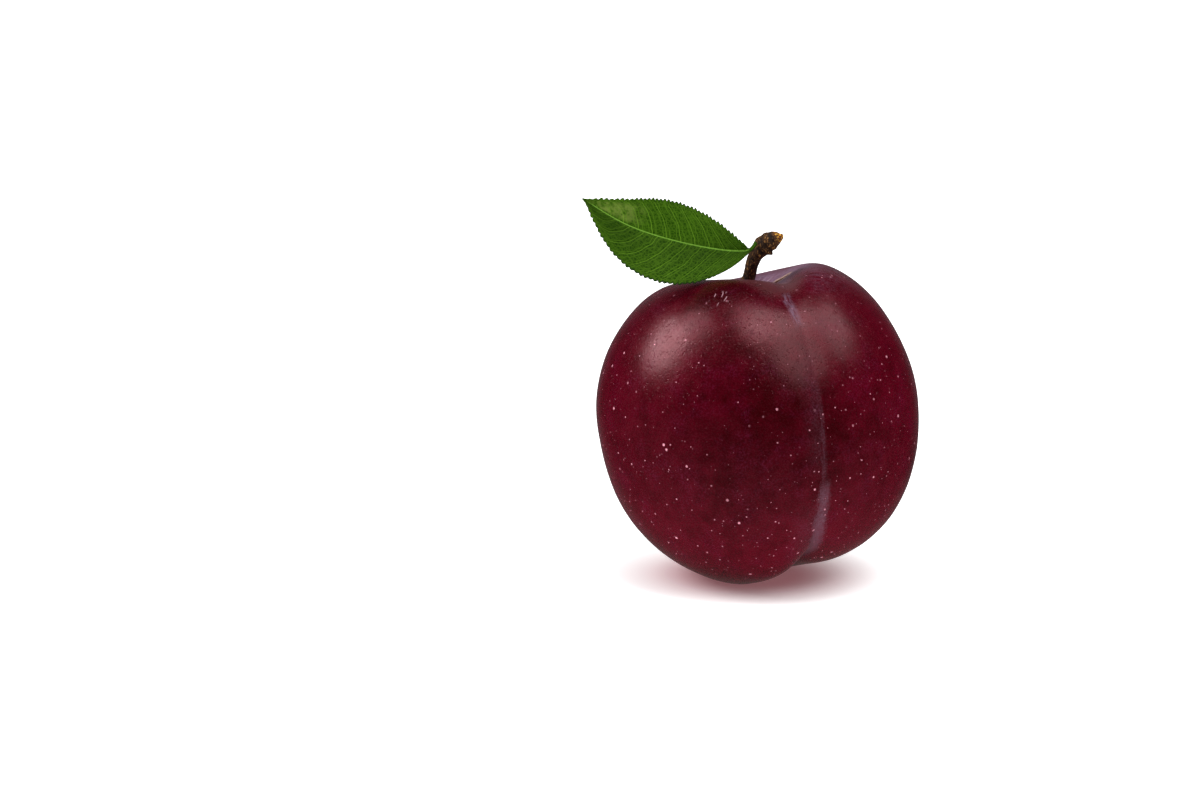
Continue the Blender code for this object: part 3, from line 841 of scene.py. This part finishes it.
def stem_bark():
    """Dark rough bark with rusty patches and tan flecks, and golden wood where the twig broke."""
    paint = Paint("stem_bark")
    place = paint.place()
    relief = paint.attribute("relief")
    grain = paint.noise(place, BARK_GRAINS, 5.0, 0.7)
    fibres = paint.noise(paint.stretch(place, FIBRES), 1.0, 3.0, 0.6)
    rust = grain * RUST_FROM_GRAIN + relief * (1.0 - RUST_FROM_GRAIN)
    colour = paint.mix(BARK_BROWN, BARK_RUST, rust.rises(*RUST_EDGE))
    flecks = fibres.rises(*FLECK_EDGE) * (relief + 0.5 * grain).rises(*FLECK_HEIGHT_EDGE)
    colour = paint.mix(colour, BARK_TAN, flecks * FLECK_SHARE)
    cracks = paint.cells(paint.stretch(place, CRACKS), 1.0, "Distance", "DISTANCE_TO_EDGE")
    dark = cracks.rises(*CRACK_EDGE).most(grain.rises(*DARK_WOOD_EDGE))
    wood = paint.mix(BROKEN_WOOD, BROKEN_CRACK, dark)
    ragged = BREAK_FRAY * (fibres - 0.5) + BREAK_RELIEF * (relief - 0.5)
    broken = (paint.attribute("along") + ragged).rises(*BREAK_EDGE)
    colour = paint.mix(colour, wood, broken)
    normal = paint.bump(grain + fibres, BARK_BUMP, BARK_BUMP_STRENGTH)
    roughness = BARK_ROUGHNESS + BARK_GRAIN_ROUGHNESS * grain
    paint.finish(Base_Color=colour, Roughness=roughness, Normal=normal)
    return paint.finish(Specular_IOR_Level=BARK_SPECULAR)


def make_stem():
    """A bent woody stem with ring scars and a knotted head that ends in a broken spur."""
    axis = settle(np.array((0.0, 0.0, 1.0))) - settle(np.zeros(3))
    foot = settle(fruit_skin(np.zeros(1), np.zeros(1))[0])[0] + FOOT_CLEARANCE * axis
    place = np.linspace(0.0, 1.0, STEM_ROWS)
    middle, radius = smooth_line(place)
    along = unit(np.gradient(middle, axis=0))
    upright = ease(place, 0.0, FOOT_BLEND)[:, None]
    along = unit(axis * (1.0 - upright) + along * upright)
    up = unit(np.cross((0.0, -1.0, 0.0), along))
    front = np.cross(along, up)
    middle = middle - axis * (FOOT_SINKS * fade(place, 0.0, FOOT_SINK_END))[:, None]
    side = np.arange(STEM_SIDES) * math.tau / STEM_SIDES
    ring = np.cos(side)[None, :, None] * front[:, None] + np.sin(side)[None, :, None] * up[:, None]
    t = place[:, None]
    ridges = RIDGE_HEIGHT * np.sin(RIDGES * side + RIDGE_TWIST * t) * ease(t, *RIDGE_START)
    scars = RING_HEIGHT * np.sin(RINGS * t + RING_SLANT * np.sin(side))
    scars = scars * ease(t, *RING_START) * fade(t, *RING_END)
    turn = np.remainder(side - KNOT_SIDE + math.pi, math.tau) - math.pi
    knot = KNOT_HEIGHT * hump(turn, 0.0, KNOT_BREADTH) * hump(t, KNOT_PLACE, KNOT_LENGTH)
    smooth = foot + middle[:, None] + ring * (radius[:, None] + ridges + scars + knot)[..., None]
    bark = sum(share * uneven(smooth, wavelength, seed) for share, wavelength, seed in BARK_LUMPS)
    splinters = SPLINTER_HEIGHT * uneven(smooth, SPLINTER_LENGTH, SPLINTER_SEED)
    splinters = splinters * ease(t, *SPLINTER_START)
    points = smooth + ring * (BARK_HEIGHT * bark + splinters)[..., None]
    faces = grid_faces(STEM_ROWS, STEM_SIDES) + end_faces(STEM_ROWS, STEM_SIDES)
    relief = 0.5 + 0.5 * bark + scars / RING_RELIEF
    places = {"along": np.broadcast_to(t, bark.shape), "relief": relief}
    piece = add_piece("stem_wood", points.reshape(-1, 3), faces, places, stem_bark())
    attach(piece, BODY)
    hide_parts("stem")


def leaf_heading(travel):
    """How steeply the midrib climbs, in radians, at shares of the blade's length."""
    climb = CLIMB_STEADY * np.maximum(travel, 0.0)
    for turn, start, end in (CLIMB_NEAR_BASE, CLIMB_NEAR_TIP):
        climb = climb + turn * ease(travel, start, end)
    droop = PETIOLE_DROOP * ease(-travel, -PETIOLE_BEND, PETIOLE_BEND)
    return np.radians(climb - droop)


def half_width(travel, width, taper):
    """Width of one half of the blade, from its outer edge to the midrib."""
    rise, fall = taper
    return width * np.maximum(np.sin(math.pi * np.clip(travel, 0.0, 1.0) ** rise), 0.0) ** fall


def vein_phase(travel, across, course):
    """Numbers the side veins along one half of the blade: each vein lies at a whole number."""
    slant, curve, start = course
    return (travel - slant * across - curve * across ** 2) * VEINS + start


def tooth_profile(share):
    """A rounded tooth that leans toward the leaf's tip."""
    return np.maximum(np.sin(math.pi * share ** TOOTH_LEAN), 0.0) ** TOOTH_ROUNDNESS


# Greens of the blade: LEAF_LIGHT serves both the blade's own mottling and painted light, and LEAF_SHADE
# is painted shade.
LEAF_GREEN = (0.016, 0.060, 0.001, 1.0)
LEAF_LIGHT = (0.038, 0.115, 0.002, 1.0)
LEAF_SHADE = (0.010, 0.038, 0.001, 1.0)
LEAF_PALE = (0.190, 0.260, 0.050, 1.0)
VEIN_GREEN = (0.150, 0.320, 0.022, 1.0)
MIDRIB_GREEN = (0.200, 0.420, 0.050, 1.0)
RIM_GREEN = (0.012, 0.036, 0.010, 1.0)
LEAF_GLOSS = (0.80, 1.0, 0.20, 1.0)
LEAF_MOTTLES = 0.40
LEAF_LIGHT_EDGE = (0.32, 0.80)

# Painted veins: how they wander, their edges by distance from a whole number, and their strengths.
VEIN_SWAYS = 0.30
VEIN_SWAY = 0.35
MAIN_VEIN_EDGE = (0.050, 0.012)
MAIN_VEIN_END = (1.0, 0.80)
SECOND_VEIN_EDGE = (0.11, 0.02)
SECOND_VEIN_SHARE = 0.55
CROSS_VEINS = 9.0
CROSS_VEIN_SLANT = 0.7
CROSS_VEIN_SWAY = 4.0
CROSS_VEIN_EDGE = (0.10, 0.02)
CROSS_VEIN_SHARE = 0.38
NET_CELLS = 1.75
NET_HALF_WIDTH = 9.0
NET_EDGE = (0.18, 0.02)
NET_SHARE = 0.36
VEIN_SHARE = 0.74
VEINS_LOST_IN_SHADE = 0.30

# Painted shade and light: edges across the blade, from -1 below to 1 above, and along it, from base to
# tip.
LOWER_HALF_EDGE = (0.02, -0.04)
LOWER_HALF_SHARE = 0.45
LIT_ACROSS_EDGE = (-0.3, -0.9)
LIT_ALONG_EDGE = (0.85, 0.5)
LIT_SHARE = 0.12
MOTTLED_SHARE = 0.8
TIP_SHADE_ACROSS_EDGE = (0.0, -0.15)
TIP_SHADE_OUTWARD_EDGE = (1.0, 0.3)
TIP_SHADE_ALONG_EDGE = (0.45, 0.80)
BASE_SHADE_ACROSS = ((-0.7, -0.2), (0.0, -0.08))
BASE_SHADE_ALONG_EDGE = (0.60, 0.30)
BASE_SHADE_SHARE = 0.7
UPPER_SHADE_ACROSS_EDGE = (0.0, 0.12)
UPPER_SHADE_ALONG_EDGE = (0.35, 0.05)
UPPER_SHADE_SHARE = 0.6
SHADE_SHARE = 0.9
PALE_ACROSS = ((0.0, 0.20), (0.90, 0.6))
PALE_ALONG = ((0.60, 0.78), (0.98, 0.88))
PALE_MOTTLES = 0.9
PALE_MOTTLE_EDGE = (0.30, 0.60)
PALE_SHARE = 0.75
RIM_LINE_EDGE = (0.955, 0.985)
RIM_LINE_SHARE = 0.8
# The midrib's half width in millimetres at the base, how much thinner it is at the tip, and its core.
RIB_LINE_WIDTH = 0.20
RIB_LINE_NARROWS = 0.09
RIB_LINE_CORE = 0.05
RIB_LINE_ALONG = ((0.0, 0.02), (1.0, 0.90))
RIB_LINE_SHARE = 0.95
LEAF_GRAINS = 3.0
LEAF_BUMP = 0.05 * MM
LEAF_BUMP_STRENGTH = 0.7
LEAF_ROUGHNESS = 0.45
LEAF_MOTTLE_ROUGHNESS = 0.2
LEAF_SPECULAR = 0.06


def leaf_veins(paint, place, travel, side):
    """Side veins and the finer ones between them, the cross veins, and a mesh of the finest."""
    across = abs(side)
    upper = side.rises(-0.02, 0.02)
    sway = (paint.noise(place, VEIN_SWAYS, 2.0) - 0.5) * VEIN_SWAY
    veins = 0.0
    for course, share in ((UPPER_VEINS, upper), (LOWER_VEINS, 1.0 - upper)):
        phase = vein_phase(travel, across, course) + sway
        main = phase.from_whole().rises(*MAIN_VEIN_EDGE) * across.rises(*MAIN_VEIN_END)
        second = (phase * 2.0 + 0.5 + 3.0 * sway).from_whole().rises(*SECOND_VEIN_EDGE)
        cross = across * CROSS_VEINS + CROSS_VEIN_SLANT * phase + CROSS_VEIN_SWAY * sway
        cross = cross.from_whole().rises(*CROSS_VEIN_EDGE)
        both = main.most(second * SECOND_VEIN_SHARE).most(cross * CROSS_VEIN_SHARE)
        veins = (both * share).most(veins)
    flat = {"X": travel * (LEAF_LENGTH / MM), "Y": side * NET_HALF_WIDTH}
    mesh = paint.cells(paint.node("CombineXYZ", inputs=flat), NET_CELLS, "Distance", "DISTANCE_TO_EDGE")
    return veins.most(mesh.rises(*NET_EDGE) * NET_SHARE)


def leaf_shade(travel, side):
    """Painted shade: below the midrib toward the tip and near the base, and above it near the base."""
    near_tip = side.rises(*TIP_SHADE_ACROSS_EDGE) * travel.rises(*TIP_SHADE_ALONG_EDGE)
    near_tip = near_tip * abs(side).rises(*TIP_SHADE_OUTWARD_EDGE)
    near_base = side.within(*BASE_SHADE_ACROSS) * travel.rises(*BASE_SHADE_ALONG_EDGE)
    above = side.rises(*UPPER_SHADE_ACROSS_EDGE) * travel.rises(*UPPER_SHADE_ALONG_EDGE)
    return near_tip.most(near_base * BASE_SHADE_SHARE).most(above * UPPER_SHADE_SHARE)


def leaf_green():
    """A satin green blade with fine pale veins, a mesh of finer ones, a dark rim, painted shade on the
    lower half and in patches, and painted light near the base of the lower half.
    """
    paint = Paint("leaf_green")
    place = paint.place()
    travel = paint.attribute("travel")
    side = paint.attribute("across")
    veins = leaf_veins(paint, place, travel, side)
    shaded = leaf_shade(travel, side)
    mottled = paint.noise(place, LEAF_MOTTLES, 4.0, 0.6)
    lit = side.rises(*LIT_ACROSS_EDGE) * travel.rises(*LIT_ALONG_EDGE)
    light = (mottled * MOTTLED_SHARE + lit * LIT_SHARE).rises(*LEAF_LIGHT_EDGE)
    colour = paint.mix(LEAF_GREEN, LEAF_LIGHT, light)
    # Painted shade: the lower half and the shaded patches are darker.
    colour = paint.mix(colour, LEAF_SHADE, side.rises(*LOWER_HALF_EDGE) * LOWER_HALF_SHARE)
    colour = paint.mix(colour, LEAF_SHADE, shaded * SHADE_SHARE)
    pale = travel.within(*PALE_ALONG) * side.within(*PALE_ACROSS)
    pale = pale * paint.noise(place, PALE_MOTTLES, 3.0).rises(*PALE_MOTTLE_EDGE)
    colour = paint.mix(colour, LEAF_PALE, pale * PALE_SHARE)
    colour = paint.mix(colour, VEIN_GREEN, veins * (VEIN_SHARE - VEINS_LOST_IN_SHADE * shaded))
    colour = paint.mix(colour, RIM_GREEN, abs(side).rises(*RIM_LINE_EDGE) * RIM_LINE_SHARE)
    rib_width = RIB_LINE_WIDTH - RIB_LINE_NARROWS * travel
    midrib = paint.attribute("from_rib").rises(rib_width, RIB_LINE_CORE)
    midrib = midrib * travel.within(*RIB_LINE_ALONG)
    colour = paint.mix(colour, MIDRIB_GREEN, midrib * RIB_LINE_SHARE)
    height = paint.noise(place, LEAF_GRAINS, 3.0) * 0.5 - veins
    normal = paint.bump(height, LEAF_BUMP, LEAF_BUMP_STRENGTH)
    roughness = LEAF_ROUGHNESS + LEAF_MOTTLE_ROUGHNESS * mottled
    paint.finish(Base_Color=colour, Roughness=roughness, Normal=normal)
    return paint.finish(Specular_IOR_Level=LEAF_SPECULAR, Specular_Tint=LEAF_GLOSS)


def make_leaf():
    """A thin toothed blade with a sunken midrib and side veins, a keel behind, and a short petiole."""
    blade = np.arange(TEETH * TOOTH_STEPS) / (TEETH * TOOTH_STEPS)
    petiole = -PETIOLE_LENGTH / LEAF_LENGTH * np.linspace(1.0, 0.0, PETIOLE_STEPS, endpoint=False)
    travel = np.concatenate((petiole, blade, (TEETH_END[1],)))
    heading = leaf_heading(travel)
    steps = np.diff(travel) * LEAF_LENGTH
    middles = leaf_heading((travel[1:] + travel[:-1]) / 2.0)
    walk_x = np.append(0.0, np.cumsum(-steps * np.cos(middles)))
    walk_z = np.append(0.0, np.cumsum(steps * np.sin(middles)))
    forward = LEAF_TIP_FORWARD * np.sign(travel) * np.abs(travel) ** TIP_FORWARD_GATHERS
    start = PETIOLE_STEPS
    tuck = PETIOLE_TUCK * (np.minimum(travel, 0.0) * LEAF_LENGTH / PETIOLE_LENGTH) ** 2
    line = np.stack((walk_x - walk_x[start], tuck - forward, walk_z - walk_z[start]), axis=-1)
    line = line + LEAF_BASE - REST_SPOT_OFFSET + (0.0, 0.0, REST_PLANE_BELOW_MIDDLE)
    share = np.maximum(travel, 0.0)
    lean = BLADE_LEAN_AT_BASE + (BLADE_LEAN_AT_TIP - BLADE_LEAN_AT_BASE) * share ** BLADE_LEAN_GATHERS
    flat = np.zeros_like(travel)
    rise = np.stack((np.sin(heading), flat, np.cos(heading)), axis=-1)
    upward = rise * np.cos(lean)[:, None] + np.stack((flat, np.sin(lean), flat), axis=-1)
    onward = flat - LEAF_TIP_FORWARD / LEAF_LENGTH
    along = np.stack((-np.cos(heading), onward, np.sin(heading)), axis=-1)
    face = unit(np.cross(upward, along))
    on_blade = ease(travel, 0.0, PETIOLE_BEND)
    thickness = 2.0 * PETIOLE_RADIUS + (LEAF_THICKNESS - 2.0 * PETIOLE_RADIUS) * on_blade
    outline = tooth_profile(np.remainder(travel * TEETH, 1.0)) * fade(travel, *TEETH_END)
    outline = outline * (1.0 + TEETH_VARY_SHARE * np.sin(TEETH_VARY * travel))
    front_rows, back_rows, across_rows, rib_rows = [], [], [], []
    across = np.linspace(1.0, 0.0, BLADE_STEPS + 1)
    upper = (1, UPPER_HALF_WIDTH, UPPER_TAPER, UPPER_VEINS, UPPER_TEETH)
    lower = (-1, LOWER_HALF_WIDTH, LOWER_TAPER, LOWER_VEINS, LOWER_TEETH)
    for half, width, taper, course, (tooth_height, teeth_start) in (upper, lower):
        tooth = tooth_height * outline * ease(travel, *teeth_start)
        stalk = PETIOLE_RADIUS * (1.0 - TIP_NARROWING * share)
        spread = np.hypot(stalk, half_width(travel, width, taper))
        shares = across if half == 1 else across[::-1][1:]
        for a in shares:
            out = half * (a * spread + tooth * a ** TEETH_REACH_INWARD)
            cup = BLADE_CUP * a * spread + EDGE_WAVE * a ** 2 * np.sin(EDGE_WAVES * travel + half)
            body = line + upward * out[:, None] + face * (cup * on_blade)[:, None]
            thin = 0.5 * thickness * math.sqrt(max(1.0 - a ** EDGE_THINNING, 0.0))
            from_rib = a * spread
            phase = vein_phase(travel, a, course)
            from_vein = np.abs(phase - np.round(phase)) * LEAF_LENGTH / VEINS
            vein = hump(from_vein, 0.0, VEIN_WIDTH) * on_blade * (1.0 - 0.5 * a ** 3)
            rib_width = MIDRIB_WIDTH * (1.0 - MIDRIB_NARROWING * share)
            rib = hump(from_rib, 0.0, rib_width) * on_blade
            rib_depth = MIDRIB_DEPTH * (1.0 - MIDRIB_FLATTENING * share)
            quilt = QUILT_HEIGHT * np.sin(math.pi * a) * (1.0 - vein)
            relief = (quilt - VEIN_DEPTH * vein - rib_depth * rib) * on_blade
            relief = relief * (1.0 if a < 1.0 else 0.0)
            keel = KEEL_HEIGHT * (1.0 - KEEL_FLATTENING * share) * hump(from_rib, 0.0, KEEL_WIDTH)
            keel = (keel + VEIN_DEPTH * vein) * on_blade
            front_rows.append(body + face * (thin + relief)[:, None])
            if a < 1.0:
                back_rows.append(body - face * (thin - relief * BACK_RELIEF + keel)[:, None])
            across_rows.append(np.full_like(travel, half * a))
            rib_rows.append(from_rib)
    rings = np.stack(front_rows + back_rows[::-1], axis=1)
    rows, sides = rings.shape[:2]
    places = {"travel": np.broadcast_to(travel[:, None], (rows, sides))}
    places["across"] = np.stack(across_rows + across_rows[1:-1][::-1], axis=1)
    places["from_rib"] = np.stack(rib_rows + rib_rows[1:-1][::-1], axis=1) / MM
    faces = grid_faces(rows, sides) + end_faces(rows, sides)
    piece = add_piece("leaf_blade", rings.reshape(-1, 3), faces, places, leaf_green())
    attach(piece, BODY)
    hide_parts("leaf")


# Studio: a white floor whose glow is painted light, with a painted rosy shadow and bounce where the
# fruit rests, wide soft lights, and a dark room that is dim behind and paler below.
FLOOR_RADIUS = 6.0
FLOOR_SIDES = 96
FLOOR_WHITE = (0.90, 0.90, 0.90, 1.0)
VIEW_ELEVATION = math.radians(11.0)
VIEW_DISTANCE = 616.7 * MM
VIEW_LENS = 100.0
VIEW_CENTRE_FROM_FRUIT = Vector((-29.04, 2.07, 3.56)) * MM
ROOM_FRONT = (0.006, 0.005, 0.006, 1.0)
ROOM_BEHIND = (0.150, 0.135, 0.145, 1.0)
ROOM_BELOW = (0.100, 0.075, 0.075, 1.0)
ROOM_FAR_BELOW = (0.185, 0.120, 0.115, 1.0)
ROOM_SEEN = (1.0, 1.0, 1.0, 1.0)
# Painted bounce and painted contact shadow: the floor's base turns rosy near the rest spot, and its
# glow, which is painted light, dims to a rosy shade there; reaches in millimetres.
PAINTED_BOUNCE_ROSE = (0.90, 0.66, 0.69, 1.0)
FLOOR_GLOW = 0.90
PAINTED_BOUNCE_REACH = (26.0, 9.0)
SHADE_ROSE = (0.22, 0.10, 0.11, 1.0)
SHADE_REACH = (32.0, 8.0)
FLOOR_ROUGHNESS = 0.9
SENSOR_WIDTH = 36.0
# The room's parts, by the sideways, forward and upward share of a direction.
BEHIND_FORWARD_EDGE = (0.4, 0.95)
BEHIND_SIDE_EDGE = (0.60, 0.20)
BEHIND_UP_EDGE = (0.62, 0.30)
BELOW_EDGE = (-0.2, -0.85)
FAR_BELOW_FORWARD_EDGE = (0.65, 0.90)
FAR_BELOW_EDGE = (-0.25, -0.50)
# Each light: its direction from the fruit, its half width in degrees, and its brightness.
SOFT_LIGHTS = (
    ("left_light", Vector((-0.79, 0.08, 0.60)), 14.0, 8.2),
    ("upper_left_light", Vector((-0.55, 0.02, 0.83)), 10.0, 4.6),
    ("top_light", Vector((0.16, -0.12, 0.98)), 17.0, 4.6),
    ("small_top_light", Vector((0.05, -0.22, 0.97)), 6.0, 4.5),
    ("front_light", Vector((0.45, -0.45, 0.77)), 12.0, 3.6),
    ("right_light", Vector((0.63, 0.06, 0.77)), 15.5, 3.0),
)


def make_floor():
    """A large pale disc whose glow is painted light, kept out of the gloss, with a painted rosy shadow
    and a painted rosy bounce where the fruit rests.
    """
    turns = np.arange(FLOOR_SIDES) * math.tau / FLOOR_SIDES
    ring = [(FLOOR_RADIUS * math.cos(turn), FLOOR_RADIUS * math.sin(turn), 0.0) for turn in turns]
    mesh = bpy.data.meshes.new("floor")
    mesh.from_pydata(ring, [], [tuple(range(FLOOR_SIDES))])
    paint = Paint("floor_glow_and_painted_shadow")
    from_rest = paint.node("VectorMath", {"operation": "LENGTH"}, {0: paint.place()}, "Value")
    # Painted rosy bounce in the base colour, and a painted shadow in the glow, near the rest spot.
    base_with_painted_bounce = paint.mix(FLOOR_WHITE, PAINTED_BOUNCE_ROSE, from_rest.rises(*PAINTED_BOUNCE_REACH))
    glow_and_painted_shadow = paint.mix(FLOOR_WHITE, SHADE_ROSE, from_rest.rises(*SHADE_REACH))
    paint.finish(Base_Color=base_with_painted_bounce, Emission_Color=glow_and_painted_shadow, Emission_Strength=FLOOR_GLOW)
    paint.finish(Roughness=FLOOR_ROUGHNESS, Specular_IOR_Level=0.0)
    mesh.materials.append(paint.material)
    floor = bpy.data.objects.new("floor", mesh)
    floor.visible_glossy = False
    bpy.context.scene.collection.objects.link(floor)


def add_light(name, direction, half_width, energy):
    """A far round light, half_width degrees from its middle to its edge."""
    light = bpy.data.lights.new(name, "SUN")
    light.angle = math.radians(2.0 * half_width)
    light.energy = energy
    lamp = bpy.data.objects.new(name, light)
    lamp.rotation_euler = direction.to_track_quat("Z", "Y").to_euler()
    bpy.context.scene.collection.objects.link(lamp)


def make_lights():
    """Wide soft lights far away, so that the floor is evenly white."""
    for name, direction, half_width, brightness in SOFT_LIGHTS:
        energy = brightness * math.pi * math.sin(math.radians(half_width)) ** 2
        add_light(name, direction, half_width, energy)


def make_room():
    """A dark room, dim behind and paler below, that looks white to the camera."""
    world = bpy.data.worlds.new("room")
    world.use_nodes = True
    room = Nodes(world.node_tree)
    direction = room.node("TexCoord", output="Generated")
    x, y, z = (room.part(direction, index) for index in range(3))
    behind = y.rises(*BEHIND_FORWARD_EDGE) * abs(x).rises(*BEHIND_SIDE_EDGE)
    behind = behind * z.rises(*BEHIND_UP_EDGE)
    far_below = y.rises(*FAR_BELOW_FORWARD_EDGE) * z.rises(*FAR_BELOW_EDGE)
    shade = room.mix(ROOM_FRONT, ROOM_BEHIND, behind)
    shade = room.mix(shade, ROOM_BELOW, z.rises(*BELOW_EDGE))
    shade = room.mix(shade, ROOM_FAR_BELOW, far_below)
    seen = room.mix(shade, ROOM_SEEN, room.node("LightPath", output="Is Camera Ray"))
    room.feed(room.tree.nodes["Background"].inputs["Color"], seen)
    bpy.context.scene.world = world


def make_camera(target):
    """The camera looks along +Y and a little down, with the fruit right of the middle."""
    forward = Vector((0.0, math.cos(VIEW_ELEVATION), -math.sin(VIEW_ELEVATION)))
    lens = bpy.data.cameras.new("camera")
    lens.lens = VIEW_LENS
    lens.sensor_width = SENSOR_WIDTH
    camera = bpy.data.objects.new("camera", lens)
    camera.location = target + VIEW_CENTRE_FROM_FRUIT - forward * VIEW_DISTANCE
    camera.rotation_euler = forward.to_track_quat("-Z", "Y").to_euler()
    bpy.context.scene.collection.objects.link(camera)
    bpy.context.scene.camera = camera


make_fruit()
make_stem()
make_leaf()
fruit_low, fruit_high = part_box("fruit")
fruit_middle = (fruit_low + fruit_high) / 2.0
make_floor()
make_lights()
make_room()
make_camera(fruit_middle)
bpy.context.scene.view_settings.view_transform = "Standard"
